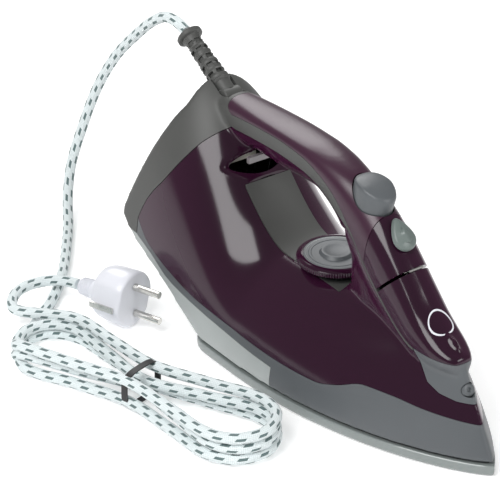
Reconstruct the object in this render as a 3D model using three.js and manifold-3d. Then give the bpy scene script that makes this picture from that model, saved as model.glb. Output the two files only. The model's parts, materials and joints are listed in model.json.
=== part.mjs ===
// Corded steam iron with its own water tank. Millimetres, +Z up, +X towards the toe.
// Origin: middle of the iron's footprint box, on the ironing surface.
import * as THREE from 'three';
import Module from 'manifold-3d';
import { mergeVertices } from 'three/addons/utils/BufferGeometryUtils.js';

const wasm = await Module();
wasm.setup();

// ---- driving dimensions -------------------------------------------------
const TOE_X = 154;              // front tip of the sole
const HEEL_X = -154;            // rearmost edge of the heel
const SOLE_REAR_X = -72;        // back edge of the sole
const SOLE_HALF = 58.5;         // widest half width of the sole
const SOLE_THICK = 7;
const FORM_BASE = 8.8;          // underside of the plastic housing
const WALL = 2.6;               // plastic wall thickness
const GAP = 0.3;                // clearance between neighbouring pieces
const TOE_RAKE = 0.56;          // how far the nose leans back per mm of height
const BODY_RISE = 66;           // crown height of the tank above its base, amidships
const HEEL_RISE = 79;           // extra crown height at the heel
const DIAL_R = 24.5;
const DIAL_X = 4;
const DIAL_Z = 74;              // underside of the dial
const BAND = 9.5;               // height of the grey band under the handle cover
const FLAP_HINGE = [78, 0, 102.5];      // hinge line of the filler flap, on the crown
const BUTTON_TOP = [39, 0, 139.5];
const BUTTON_AXIS = [0.2, 0, 0.98];  // outward; the button is pressed against it
const LEVER_AT = [65, 0, 115.2];        // where the lever stands on the console
const NOZZLE = [128, 0, 46];            // mouth of the spray nozzle
const NOZZLE_AIM = [0.89, 0, 0.456];
const SWIVEL = [-105, 0, 141];  // pivot of the cord guard
const GUARD_TILT = 0.504;       // rise of the cord guard above the horizontal, radians
const CORD_R = 3.5;
const PLUG = [-118, -78, 19];   // middle of the plug body
const PLUG_TURN = 0.35;         // heading of the plug pins from +X, radians
const PIN_PITCH = 19;

// Free route of the cord from the guard to the hank.
const LEAD_ROUTE = [
  [-153, 0, 167.5], [-163, 0, 170], [-176, 0, 169], [-190, -1, 161], [-209, -1, 145],
  [-232, -2, 122], [-252, -5, 92], [-262, -12, 60], [-263, -22, 32], [-254, -31, 13],
  [-238, -41, 4.6], [-216, -56, 4], [-186, -78, 4], [-158, -104, 4], [-143, -124, 4],
];
const TAIL_ROUTE = [
  [-148.4, -89.6, 16], [-155, -92, 15.6], [-163, -98, 15], [-168, -108, 14.4], [-168, -120, 14],
  [-161, -131, 13.5], [-150, -136, 13], [-136, -137, 13],
];

// ---- materials ------------------------------------------------------------
const finish = (color, roughness, metalness = 0) =>
  new THREE.MeshStandardMaterial({ color, roughness, metalness });
const AUBERGINE = finish('#33132a', 0.12);
const AUBERGINE_SOFT = finish('#3a1a30', 0.35);
const DARK_GREY = finish('#46474a', 0.5);
const MID_GREY = finish('#555a5d', 0.45);
const PALE_GREY = finish('#a3a7a2', 0.45);
const LEVER_GREY = finish('#6a7571', 0.4);
const BLACK = finish('#17181a', 0.6);
const WHITE = finish('#dcdde2', 0.35);
const CORD_WHITE = finish('#dde7ea', 0.85);
const SILICONE = finish('#2c2e30', 0.75);
const ALUMINIUM = finish('#9a9d9c', 0.45, 0.9);
const SOLE_METAL = finish('#6b7472', 0.3, 0.85);
const STEEL = finish('#b4b4b0', 0.3, 1.0);
const BRASS = finish('#b29a5a', 0.35, 1.0);
const LENS = finish('#b9b2b6', 0.15);
const CERAMIC = finish('#d9d4c6', 0.7);

const iron = new THREE.Group();
iron.name = 'steam_iron';

// ---- solids helpers -------------------------------------------------------
const toSolid = (geometry) => {
  const bare = geometry.clone();
  for (const name of Object.keys(bare.attributes)) {
    if (name !== 'position') bare.deleteAttribute(name);
  }
  const merged = mergeVertices(bare, 1e-4);
  const vertProperties = new Float32Array(merged.attributes.position.array);
  const triVerts = new Uint32Array(merged.index.array);
  return new wasm.Manifold(new wasm.Mesh({ numProp: 3, vertProperties, triVerts }));
};

// Edges shorter than this are closed up, so that a cut leaves no slivers.
const SHORTEST_EDGE = 0.04;
const weld = (vertices, triangles) => {
  const root = Array.from({ length: vertices.length / 3 }, (_, i) => i);
  const find = (i) => (root[i] === i ? i : find(root[i]));
  const gap = (i, j) => Math.hypot(...[0, 1, 2].map((k) => vertices[3 * i + k] - vertices[3 * j + k]));
  for (let t = 0; t < triangles.length; t += 3) {
    for (let k = 0; k < 3; k++) {
      const a = find(triangles[t + k]);
      const b = find(triangles[t + ((k + 1) % 3)]);
      if (a !== b && gap(a, b) < SHORTEST_EDGE) root[Math.max(a, b)] = Math.min(a, b);
    }
  }
  const kept = [];
  for (let t = 0; t < triangles.length; t += 3) {
    const [a, b, c] = [0, 1, 2].map((k) => find(triangles[t + k]));
    if (a !== b && b !== c && a !== c) kept.push(a, b, c);
  }
  return kept;
};

const toGeometry = (solid) => {
  const data = solid.getMesh();
  const geometry = new THREE.BufferGeometry();
  geometry.setAttribute('position', new THREE.BufferAttribute(new Float32Array(data.vertProperties), 3));
  geometry.setIndex(weld(data.vertProperties, data.triVerts));
  geometry.computeVertexNormals();
  return geometry;
};

// A cut along a curved edge can leave a crumb behind: the piece is the largest body.
const largest = (solid) =>
  solid.decompose().reduce((best, one) => (one.volume() > best.volume() ? one : best)).simplify(0.01);

const place = (name, shape, material) => {
  const geometry = shape.isBufferGeometry ? shape
    : toGeometry(largest(toSolid(toGeometry(largest(shape)))));
  const mesh = new THREE.Mesh(geometry, material);
  mesh.name = name;
  iron.add(mesh);
  return mesh;
};

const warp = (geometry, move) => {
  const at = geometry.attributes.position;
  for (let i = 0; i < at.count; i++) {
    const [x, y, z] = move(at.getX(i), at.getY(i), at.getZ(i));
    at.setXYZ(i, x, y, z);
  }
  return geometry;
};

const outlineShape = (points) => new THREE.Shape(points.map(([a, b]) => new THREE.Vector2(a, b)));

const planPrism = (points, z0, z1, steps = 1) => {
  const geometry = new THREE.ExtrudeGeometry(outlineShape(points), {
    depth: z1 - z0, steps, bevelEnabled: false,
  });
  return geometry.translate(0, 0, z0);
};

// A side outline in X and Z, extruded across the iron from y0 to y1.
const sidePrism = (points, y0, y1, steps = 1) => {
  const geometry = new THREE.ExtrudeGeometry(outlineShape(points), {
    depth: y1 - y0, steps, bevelEnabled: false,
  });
  return geometry.rotateX(Math.PI / 2).translate(0, y1, 0);
};

const disc = (x, y, z, radius, height, sides = 24) =>
  new THREE.CylinderGeometry(radius, radius, height, sides)
    .rotateX(Math.PI / 2)
    .translate(x, y, z + height / 2);

const rod = (from, to, radius, sides = 12, radiusEnd = radius) => {
  const a = new THREE.Vector3(...from);
  const b = new THREE.Vector3(...to);
  const geometry = new THREE.CylinderGeometry(radiusEnd, radius, a.distanceTo(b), sides);
  const turn = new THREE.Quaternion().setFromUnitVectors(
    new THREE.Vector3(0, 1, 0), b.clone().sub(a).normalize());
  return geometry.applyQuaternion(turn).translate(...a.add(b).multiplyScalar(0.5).toArray());
};

const block = (x, y, z, sx, sy, sz) => new THREE.BoxGeometry(sx, sy, sz).translate(x, y, z);

const tube = (points, radius, steps, sides = 8) => {
  const path = new THREE.CatmullRomCurve3(points.map((p) => new THREE.Vector3(...p)));
  const section = new THREE.Shape();
  section.absarc(0, 0, radius, 0, Math.PI * 2);
  return new THREE.ExtrudeGeometry(section, {
    steps, extrudePath: path, curveSegments: sides, bevelEnabled: false,
  });
};

// Oval rod along an axis, from one distance to another from its centre.
const ovalPost = (centre, axis, from, to, half, stretch) => {
  const post = new THREE.CylinderGeometry(half, half, to - from, 28).translate(0, (from + to) / 2, 0);
  post.scale(stretch, 1, 1);
  const turn = new THREE.Quaternion().setFromUnitVectors(
    new THREE.Vector3(0, 1, 0), new THREE.Vector3(...axis).normalize());
  return post.applyQuaternion(turn).translate(...centre);
};

const along = (from, dir, t) => from.map((v, i) => v + dir[i] * t);

const cut = (solid, ...tools) => tools.reduce((rest, tool) => rest.subtract(toSolid(tool)), solid);

// ---- shape of the iron ------------------------------------------------------
const smooth = (t) => {
  const u = Math.min(Math.max(t, 0), 1);
  return u * u * (3 - 2 * u);
};

// A broken line z(x) that keeps its own points as knots.
const line = (points) => {
  const at = (x) => {
    if (x <= points[0][0]) return points[0][1];
    for (let i = 1; i < points.length; i++) {
      const [x1, z1] = points[i];
      if (x <= x1) {
        const [x0, z0] = points[i - 1];
        return z0 + ((z1 - z0) * (x - x0)) / (x1 - x0);
      }
    }
    return points[points.length - 1][1];
  };
  at.knots = points.map(([x]) => x);
  return at;
};

// The line between x0 and x1, lifted, with a point at every knot.
const trace = (fn, x0, x1, lift = 0) =>
  [x0, ...fn.knots.filter((x) => x > x0 + 0.01 && x < x1 - 0.01), x1].map((x) => [x, fn(x) + lift]);

const WIDEST_X = -30;
const soleHalf = (x) => {
  if (x <= WIDEST_X) return SOLE_HALF - 4 * Math.min((WIDEST_X - x) / 124, 1) ** 2;
  const t = Math.min((x - WIDEST_X) / (TOE_X - WIDEST_X), 1);
  return SOLE_HALF * (1 - t ** 2.2) ** 0.85;
};

// Plan outline: straight along the back, then round the toe.
const planOutline = (rearX, inset, corner = 0) => {
  const side = [];
  const steps = 16;
  const toe = TOE_X - inset * 1.4;
  for (let i = 0; i <= steps; i++) {
    const u = 1 - (1 - i / steps) ** 1.7;
    const x = rearX + (toe - rearX) * u;
    const scale = (x - WIDEST_X) / (toe - WIDEST_X);
    const reach = x > WIDEST_X ? WIDEST_X + scale * (TOE_X - WIDEST_X) : x;
    const fade = Math.min((x - rearX) / Math.max(corner, 1), 1);
    const round = corner > 0 ? corner * (1 - Math.sqrt(1 - (1 - fade) ** 2)) : 0;
    side.push([x, Math.max((soleHalf(reach) * (SOLE_HALF - inset)) / SOLE_HALF - round, 0)]);
  }
  side[side.length - 1][1] = 0;
  const right = side.map(([x, y]) => [x, -y]);
  return [...right, ...side.slice(0, -1).reverse()];
};

const crownHeight = (x) => BODY_RISE + HEEL_RISE * smooth((-22 - x) / 105);

// The low body: sides close inwards with height, the nose leans back.
const bodyForm = (inset) => {
  const top = 146;
  const geometry = planPrism(planOutline(HEEL_X - 8, inset), FORM_BASE, top, 11);
  return toSolid(warp(geometry, (x, y, z) => {
    const rise = z - 8;
    const close = Math.min(rise / (crownHeight(x) - inset), 0.999);
    const lean = TOE_RAKE * rise * smooth((x + 40) / 170);
    return [x - lean, y * Math.sqrt(1 - close * close), z];
  }));
};

const topLine = line([[-119, 136.5], [-98, 146.6], [-81, 147.2], [-60, 147.6], [-37, 148], [-14, 148],
  [3, 146.8], [19, 143.4], [34, 137.4], [48, 129.2], [60, 120], [72, 108.6], [84, 96], [96, 83.5],
  [108, 73.5], [118, 67.5], [124, 65]]);
const edgeLine = line([[-119, 127.5], [-98, 137], [-81, 140], [-60, 142], [-37, 143], [-14, 141.5],
  [3, 137], [19, 128.5], [34, 114], [48, 99.5], [60, 88.5], [72, 78], [84, 69], [96, 63.6], [124, 62]]);
const underLine = line([[-119, 116], [-98, 118], [-60, 119], [-40, 119], [-5, 121], [8, 116], [19, 108],
  [27, 97], [36, 82], [60, 62], [84, 54], [96, 52], [124, 54]]);
const gripHalf = line([[-119, 10.5], [-98, 12], [-60, 13.5], [-14, 14.2], [34, 14.6], [48, 15.5], [60, 16],
  [84, 15.7], [96, 15], [108, 13.4], [118, 10], [124, 6]]);

const stations = (fn, x0, x1, step) => {
  const points = [];
  const count = Math.ceil((x1 - x0) / step);
  for (let i = 0; i <= count; i++) {
    const x = x0 + ((x1 - x0) * i) / count;
    points.push([x, fn(x)]);
  }
  return points;
};

// Rounded bar whose widest line follows edgeLine, between topLine and underLine.
const barForm = (x0, x1, shell, step = 11) => {
  const above = stations((x) => topLine(x) - shell, x0, x1, step);
  const below = stations((x) => underLine(x) + shell, x0, x1, step);
  const geometry = sidePrism([...below, ...above.reverse()], -1, 1, 8);
  return toSolid(warp(geometry, (x, v, z) => {
    const angle = (v * 0.97 * Math.PI) / 2;
    const edge = edgeLine(x);
    const half = gripHalf(x) - shell;
    return [x, (half * Math.sin(angle)) / Math.sin((0.97 * Math.PI) / 2),
      edge + (z - edge) * Math.cos(angle) ** 0.7];
  }));
};

const skirtTop = line([[-134, 59], [-128, 53], [-119, 47], [-93, 38.5], [-61, 32.5], [-7, 29], [46, 27],
  [60, 30], [76, 35.5], [95, 34.5], [112, 32], [150, 28]]);
const trimLow = line([[-134, 48], [-115, 41.5], [-96, 33.5], [-76, 30], [-46, 26.5], [14, 22]]);
const UNDERSIDE = [[-62, FORM_BASE], [-81, 19], [-101, 29], [-118, 35.5], [-135, 42], [HEEL_X, 54]];
const SIDE_OUTLINE = [...UNDERSIDE, [-119, 137], [-119, 160], [160, 160], [160, FORM_BASE]];
const INNER_OUTLINE = [[-60, 0], [-60, 12], [-80, 22.5], [-100, 32.5], [-134, 45.5], [-149, 55.5],
  [-115, 136], [-115, 160], [160, 160], [160, 0]];
const REAR_SEAM = [[-134.3, 59], [-127, 75], [-115, 90], [-102, 112], [-92, 127], [-84, 133]];
const NOSE_SEAM = [[96, 62.4], [98, 60], [103, 54], [109, 47], [117, 42.5], [127, 40], [150, 39]];

const across = (points) => toSolid(sidePrism(points, -90, 90));
const bodyOuter = bodyForm(0).intersect(across(SIDE_OUTLINE));
const bodyInner = bodyForm(WALL).intersect(across(INNER_OUTLINE))
  .add(toSolid(planPrism(planOutline(-60, WALL + 0.6), 0, 12)));
const barOuter = barForm(-119, 124, 0);
const barInner = barForm(-115, 119, 2.8);

// Column under the console, from the deck to the nozzle plate.
const COLUMN_PLAN = [[30, -9], [35, -13], [48, -14.8], [84, -14.8], [104, -12.5], [115, -8], [120, 0],
  [115, 8], [104, 12.5], [84, 14.8], [48, 14.8], [35, 13], [30, 9]];
const columnUnder = (lift) => across([[20, 20], [20, 118], ...trace(edgeLine, 34, 104, lift), [118, 50],
  [140, 30], [140, 20]]);
const columnOuter = toSolid(planPrism(COLUMN_PLAN, 26, 140)).intersect(columnUnder(0));
const columnInner = toSolid(planPrism(COLUMN_PLAN.map(([x, y]) => [x < 60 ? x + 3 : x - 3, y * 0.82]),
  20, 140)).intersect(columnUnder(6));

const DECK = line([[-66, 101], [-57, 92], [-48, 84], [-39, 77.5], [-30, 73.3], [-20, 71.5], [30, 70.5]]);
const OPENING = [[-80, 110], [-79, 114], [-76, 117.5], [-70, 119.5], [-40, 119], [-5, 121], [8, 116],
  [19, 107.5], [26, 96.5], [28, 86], [28, 74], ...trace(DECK, -66, 24, 2.2).reverse()];
const openingTool = sidePrism(OPENING, -60, 60);

// ---- soleplate and heater -----------------------------------------------------
const buildSole = () => {
  const plate = planPrism(planOutline(SOLE_REAR_X, 0, 16), 0, SOLE_THICK, 3);
  warp(plate, (x, y, z) => {
    const pull = z > 1 ? 1 : 1 - 1.6 / SOLE_HALF;
    return [z > 1 ? x : x * 0.994, y * pull, z];
  });
  const holes = [];
  for (let i = 0; i < 5; i++) {
    const x = 118 - i * 26;
    const y = soleHalf(x) * 0.62;
    holes.push(disc(x, y, -1, 2.2, 10, 8), disc(x, -y, -1, 2.2, 10, 8));
  }
  holes.push(disc(128, 0, -1, 2.2, 10, 8));
  place('soleplate', cut(toSolid(plate), ...holes), SOLE_METAL);

  const ringOuter = toSolid(planPrism(planOutline(SOLE_REAR_X + 5, 3.2, 14), 7.3, 8.5));
  const ringInner = planPrism(planOutline(SOLE_REAR_X + 12, 8.5, 8), 6, 10);
  place('sole_gasket', cut(ringOuter, ringInner), SILICONE);

  const casting = toSolid(planPrism(planOutline(-52, 16, 10), 7.4, 19));
  const chamber = planPrism(planOutline(-30, 26, 6), 12, 21);
  place('heater_casting', cut(casting, chamber), ALUMINIUM);
  place('steam_chamber_cover', planPrism(planOutline(-45, 20, 6), 19.3, 20.8), STEEL);
  for (const [side, y] of [['left', 22], ['right', -22]]) {
    place(`heater_terminal_${side}`, rod([-52.4, y, 12.6], [-59, y, 12.6], 2.4, 10), STEEL);
  }
  place('thermal_fuse', rod([-36, 10, 24], [-36, -10, 24], 2.8, 10), CERAMIC);
};

// ---- lower housing ------------------------------------------------------------
const buildHousing = () => {
  const skirtRegion = across([[12.3, FORM_BASE], ...trace(trimLow, -134, 12.3, GAP).reverse(),
    ...trace(skirtTop, -134, 150), [160, 28], [160, FORM_BASE]]);
  place('lower_skirt', bodyOuter.intersect(skirtRegion).subtract(bodyInner), MID_GREY);

  const heelRegion = across([[12, 0], [-180, 0], [-180, 47.4], [-134, 47.4], ...trace(trimLow, -133, 12)]);
  place('heel_base', bodyOuter.intersect(heelRegion).subtract(bodyInner), PALE_GREY);

  const frameRegion = across([[-170, 48.3], [-84, 48.3], [-84, 160], [-170, 160]]);
  const barEnd = across([[-122, 90], [-84, 90], [-84, 160], [-122, 160]]);
  const coverSeat = across([...trace(edgeLine, -94.3, 40, -GAP), [40, 170], [-94.3, 170]]);
  const tankSide = across([[-134.3, 40], ...REAR_SEAM, ...trace(edgeLine, -83.3, 60, -BAND), [60, 40]]);
  const rear = bodyOuter.intersect(frameRegion).add(barOuter.intersect(barEnd))
    .subtract(coverSeat).subtract(tankSide).subtract(bodyInner);
  const swivelSlot = block(-118, 0, 145, 40, 14, 24);
  const wireSpace = block(-97, 0, 124, 24, 17, 25);
  const screwHoles = [34, -34].map((y) => rod([-158, y, 55], [-130, y, 67.7], 3, 12));
  place('handle_frame', cut(rear, swivelSlot, wireSpace, ...screwHoles), DARK_GREY);

  const strip = [...trace(edgeLine, -83.2, 30, -BAND), ...trace(edgeLine, -83.2, 30, -GAP).reverse()];
  for (const [name, side] of [['left', 1], ['right', -1]]) {
    place(`handle_band_${name}`, warp(sidePrism(strip, 0, 1), (x, v, z) => {
      const drop = (edgeLine(x) - z) / (edgeLine(x) - underLine(x));
      const reach = gripHalf(x) * Math.sqrt(1 - drop ** 2.86);
      const outer = (v > 0.5) === (side > 0);
      return [x, side * (outer ? reach : reach - WALL), z];
    }), DARK_GREY);
  }
};

const buildTank = () => {
  const tankRegion = across([...trace(skirtTop, -133.7, 156, GAP),
    [156, 160], [-83, 160], [-83, 129.9], [-84.3, 132.3],
    ...REAR_SEAM.slice(1, -1).reverse().map(([x, z]) => [x + 0.5, z])]);
  const lipRegion = across([...trace(edgeLine, -83.6, 31, -BAND - GAP), [40, 60], [-83.6, 60]]);
  const bandSeat = across([...trace(edgeLine, -83.6, 30.4, -BAND - GAP), [30.4, 170], [-83.6, 170]]);
  const outer = bodyOuter.add(columnOuter).add(barOuter.intersect(lipRegion)).intersect(tankRegion);
  const shell = outer.subtract(bandSeat).subtract(bodyInner).subtract(columnInner).subtract(barInner);
  const deckSeat = sidePrism([...trace(DECK, -66.3, 29.4, -2.4), [29.4, 112], [-66.3, 112]], -17.4, 17.4);
  const consoleSeat = across([...trace(edgeLine, 30.4, 98, -GAP), [98, 170], [30.4, 170]]);
  const noseSeat = across([...NOSE_SEAM, [150, 120], [96, 120]]);
  const dialScoop = disc(DIAL_X, 0, 70.6, 27, 11, 28);
  const body = shell.subtract(consoleSeat).subtract(noseSeat);
  place('water_tank', cut(body, openingTool, deckSeat, dialScoop), AUBERGINE);
  const seats = [disc(58, 9, 20, 5.4, 20, 16), disc(DIAL_X, 0, 20, 9.4, 20, 20)];
  place('tank_floor', cut(toSolid(planPrism(planOutline(-44, 13, 8), 27.2, 28.8)), ...seats), AUBERGINE_SOFT);

  const deck = sidePrism([...trace(DECK, -66, 29), ...trace(DECK, -66, 29, -2.1).reverse()], -17, 17);
  place('deck_plate', cut(toSolid(deck), disc(DIAL_X, 0, 60, 5.2, 20, 16)), DARK_GREY);
  place('indicator_lens', block(-74.6, 0, 111.5, 2.6, 18, 4), LENS);
};

// ---- handle cover, console and filler flap --------------------------------------
const CONSOLE_NORMAL = [0.69, 0, 0.724];
const CONSOLE_DOWN = [0.724, 0, -0.69];
// Everything further down the console slope than d from the flap hinge.
const beyond = (d) => {
  const start = along(FLAP_HINGE, CONSOLE_DOWN, d);
  const corners = [[0, -60], [120, -60], [120, 60], [0, 60]].map(([t, n]) =>
    along(along(start, CONSOLE_DOWN, t), CONSOLE_NORMAL, n));
  return across(corners.map(([x, , z]) => [x, z]));
};

const buildHandle = () => {
  const above = (x0, x1) => across([...trace(edgeLine, x0, x1), [x1, 190], [x0, 190]]);
  const shell = barForm(-119, 124, 0).subtract(barForm(-115, 119, 2.5));
  const well = ovalPost(BUTTON_TOP, BUTTON_AXIS, -40, 20, 11.4, 1.36);
  const front = across([[50, 60], [57, 190], [190, 190], [190, 60]]);
  const back = across([[50.5, 60], [57.5, 190], [0, 190], [0, 60]]);
  place('handle_cover', cut(shell.intersect(above(-94, 70)).subtract(front), well), AUBERGINE_SOFT);
  const leverHole = rod(along(LEVER_AT, CONSOLE_NORMAL, -9), along(LEVER_AT, CONSOLE_NORMAL, 9), 3.4, 16);
  place('console_panel', cut(shell.intersect(above(40, 100)).subtract(back).subtract(beyond(-1)), well,
    leverHole), AUBERGINE);
  const flapShell = barForm(40, 124, 0).subtract(barForm(40, 119, 2.4));
  place('filler_flap', flapShell.intersect(above(60, 124)).intersect(beyond(1)), AUBERGINE);
  const [hingeX, , hingeZ] = FLAP_HINGE;
  place('flap_hinge_pin', rod([hingeX, -5, hingeZ], [hingeX, 5, hingeZ], 0.7, 8), STEEL);
};

// ---- nose -----------------------------------------------------------------------
const buildNose = () => {
  const region = across([...NOSE_SEAM.map(([x, z]) => [x + 0.25, z + GAP]), [150, 61.6], [124, 61.6],
    ...trace(edgeLine, 96.25, 124, -GAP).reverse().slice(1)]);
  const nose = bodyOuter.add(columnOuter).add(barOuter).intersect(region);
  const hollow = bodyForm(WALL + 0.4).intersect(across([[60, 0], [60, 56], [150, 56], [150, 0]]));
  const bore = rod(along(NOZZLE, NOZZLE_AIM, -16), along(NOZZLE, NOZZLE_AIM, 12), 4.6, 20);
  place('nozzle_plate', cut(nose.subtract(hollow), bore), MID_GREY);
  const tip = rod(along(NOZZLE, NOZZLE_AIM, -8), along(NOZZLE, NOZZLE_AIM, 1.5), 4.2, 18);
  place('spray_nozzle', tip, MID_GREY);
};

// ---- controls -----------------------------------------------------------------
const buildControls = () => {
  const at = (t) => along(BUTTON_TOP, BUTTON_AXIS, t);
  const cap = toSolid(ovalPost(BUTTON_TOP, BUTTON_AXIS, -15, 6, 10.8, 1.36));
  const crown = sidePrism([[18, 100], [18, 139], [24, 142], [31, 143.6], [39, 143], [47, 140.2],
    [56, 135], [62, 130], [62, 100]], -20, 20);
  place('spray_button', cap.intersect(toSolid(crown)), MID_GREY);
  place('pump_plunger', rod(at(-15.3), at(-26), 2.4, 12), WHITE);
  const barrel = toSolid(rod(at(-21.9), at(-36), 5.4, 16));
  place('pump_body', cut(barrel, rod(at(-20), at(-33.5), 4.2, 16)), WHITE);
  const coil = toSolid(rod(at(-15.4), at(-21.6), 5, 14));
  place('button_spring', cut(coil, rod(at(-14), at(-24), 3.4, 14)), STEEL);
  place('spray_pipe', tube([[34, 0, 103], [38, 0, 84], [56, 0, 64], [92, 0, 49], [116, 0, 41.5]], 1.9, 12, 8),
    SILICONE);

  const up = (t) => along(LEVER_AT, CONSOLE_NORMAL, t);
  const hub = toSolid(rod(up(1.6), up(5.2), 7.5, 20));
  const blade = toSolid(rod(along(up(4.6), CONSOLE_DOWN, 2), along(up(4), CONSOLE_DOWN, -12), 2.6, 8, 1));
  place('steam_lever', hub.add(blade), LEVER_GREY);
  place('lever_spindle', rod(up(1.3), up(-12), 2.6, 14), WHITE);
  place('steam_valve_rod', rod([58, 9, 88], [58, 9, 40], 1.8, 10), STEEL);
  const seat = toSolid(rod([58, 9, 38], [58, 9, 21.4], 5, 16));
  place('steam_valve_seat', cut(seat, rod([58, 9, 43], [58, 9, 29.6], 2.6, 12)), BRASS);

  const dialTop = toSolid(disc(DIAL_X, 0, DIAL_Z + 1, DIAL_R, 5, 48));
  const dialFoot = toSolid(disc(DIAL_X, 0, DIAL_Z, DIAL_R - 3, 2, 36));
  const dialHub = toSolid(disc(DIAL_X, 0, DIAL_Z + 5, 9.5, 2.6, 28));
  place('temperature_dial', dialTop.add(dialFoot).add(dialHub), MID_GREY);
  place('dial_shaft', disc(DIAL_X, 0, 31.3, 3.4, DIAL_Z - 31.6, 14), WHITE);
  place('thermostat', disc(DIAL_X, 0, 21.2, 9, 9.8, 20), CERAMIC);
  place('signal_lamp', rod([-84, 0, 112], [-91, 0, 114], 2, 10), LENS);
};

// ---- cord entry and screws --------------------------------------------------------
const GUARD_AXIS = [-Math.cos(GUARD_TILT), 0, Math.sin(GUARD_TILT)];
const buildEntry = () => {
  const at = (t) => along(SWIVEL, GUARD_AXIS, t);
  const pivot = toSolid(rod([SWIVEL[0], -6.6, SWIVEL[2]], [SWIVEL[0], 6.6, SWIVEL[2]], 6, 20));
  const neck = toSolid(rod(at(3), at(12), 5.6, 16));
  const sleeve = toSolid(rod(at(11.5), at(50), 6.6, 16, 5.4));
  const collar = toSolid(rod(at(49), at(52.4), 8.6, 20));
  place('cord_guard', pivot.add(neck).add(sleeve).add(collar), DARK_GREY);
  place('terminal_block', block(-106, 0, 106, 14, 30, 16), CERAMIC);
  place('cable_clamp', block(-98.5, 0, 122, 6, 22, 8), WHITE);
  for (const [side, y] of [['left', 34], ['right', -34]]) {
    place(`heel_screw_${side}`, rod([-146.5, y, 60.2], [-137, y, 64.4], 2.6, 12), STEEL);
  }
};

// ---- cord, hank and plug -----------------------------------------------------------
const HANK_TURN = 0.26;
const HANK_AT = [-32, -119];
const buildCord = () => {
  place('cord_lead', tube(LEAD_ROUTE, CORD_R, 34, 8), CORD_WHITE);
  const hank = [];
  const halfLength = 74;
  for (let i = 0; i <= 12; i++) {
    const angle = Math.PI / 2 - (Math.PI * i) / 12;
    hank.push([halfLength + 29 * Math.cos(angle), 29 * Math.sin(angle)]);
  }
  hank.push([8, -16], [-8, -16]);
  for (let i = 0; i <= 12; i++) {
    const angle = -Math.PI / 2 - (Math.PI * i) / 12;
    hank.push([-halfLength + 27 * Math.cos(angle), 27 * Math.sin(angle)]);
  }
  hank.push([-8, 16], [8, 16]);
  const turned = hank.map(([x, y]) => [
    HANK_AT[0] + x * Math.cos(HANK_TURN) - y * Math.sin(HANK_TURN),
    HANK_AT[1] + x * Math.sin(HANK_TURN) + y * Math.cos(HANK_TURN)]);
  place('cord_hank', planPrism(turned, 1.7, 25), CORD_WHITE);
  place('cord_tail', tube(TAIL_ROUTE, CORD_R, 12, 8), CORD_WHITE);
  place('cable_tie', block(0, 0, 0.8, 4, 34, 1).rotateZ(HANK_TURN).translate(...HANK_AT, 0), BLACK);
};

const buildPlug = () => {
  const dir = [Math.cos(PLUG_TURN), Math.sin(PLUG_TURN), 0];
  const side = [-dir[1], dir[0], 0];
  const turned = (geometry) => geometry.rotateZ(PLUG_TURN).translate(...PLUG);
  const outline = [];
  for (let i = 0; i < 32; i++) {
    const a = (i * Math.PI) / 16;
    outline.push([18.5 * Math.sign(Math.cos(a)) * Math.abs(Math.cos(a)) ** 0.7, 18.5 * Math.sin(a)]);
  }
  const body = planPrism(outline, -12, 12);
  body.rotateY(Math.PI / 2);
  place('plug_body', turned(body), WHITE);
  place('plug_grip', turned(block(-21.5, 0, -3, 18, 15, 22)), WHITE);
  for (const [name, z] of [['upper', PIN_PITCH / 2], ['lower', -PIN_PITCH / 2]]) {
    const from = along(PLUG, dir, 12.4);
    const to = along(PLUG, dir, 31.4);
    const pin = rod([from[0], from[1], from[2] + z], [to[0], to[1], to[2] + z], 2.4, 12);
    place(`plug_pin_${name}`, pin, STEEL);
  }
  for (const [name, s] of [['front', -1], ['back', 1]]) {
    const centre = along(along(PLUG, dir, 0), side, s * 19.3);
    place(`earth_contact_${name}`, block(0, 0, 0, 18, 1, 4).rotateZ(PLUG_TURN).translate(...centre), STEEL);
  }
};

buildSole();
buildHousing();
buildTank();
buildHandle();
buildNose();
buildControls();
buildEntry();
buildCord();
buildPlug();

export default iron;
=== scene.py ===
import json
import math

import bmesh
import bpy
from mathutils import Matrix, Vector


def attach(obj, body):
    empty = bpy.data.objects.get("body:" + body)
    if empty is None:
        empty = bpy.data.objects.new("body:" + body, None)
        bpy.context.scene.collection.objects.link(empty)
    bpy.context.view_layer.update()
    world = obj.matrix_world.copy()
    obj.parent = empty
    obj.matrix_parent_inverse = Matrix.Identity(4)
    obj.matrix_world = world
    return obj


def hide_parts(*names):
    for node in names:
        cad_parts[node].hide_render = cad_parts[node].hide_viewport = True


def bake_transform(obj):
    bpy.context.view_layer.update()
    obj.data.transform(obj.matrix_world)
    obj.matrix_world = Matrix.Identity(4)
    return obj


bl_info = {
    "name": "Steam iron",
    "version": (1, 0, 0),
    "blender": (4, 5, 0),
    "location": "View3D > Sidebar > Iron",
    "description": "Builds the shells, controls, cord and plug of a steam iron on its packed frame",
    "category": "Object",
}

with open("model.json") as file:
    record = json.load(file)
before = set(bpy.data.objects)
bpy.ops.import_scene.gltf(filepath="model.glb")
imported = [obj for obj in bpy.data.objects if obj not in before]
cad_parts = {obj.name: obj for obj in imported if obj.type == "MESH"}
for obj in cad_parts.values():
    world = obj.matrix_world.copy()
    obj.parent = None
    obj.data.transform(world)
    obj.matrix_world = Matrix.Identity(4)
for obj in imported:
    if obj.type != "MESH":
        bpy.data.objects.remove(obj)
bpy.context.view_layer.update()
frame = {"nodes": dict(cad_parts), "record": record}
MM = 0.001

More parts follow.
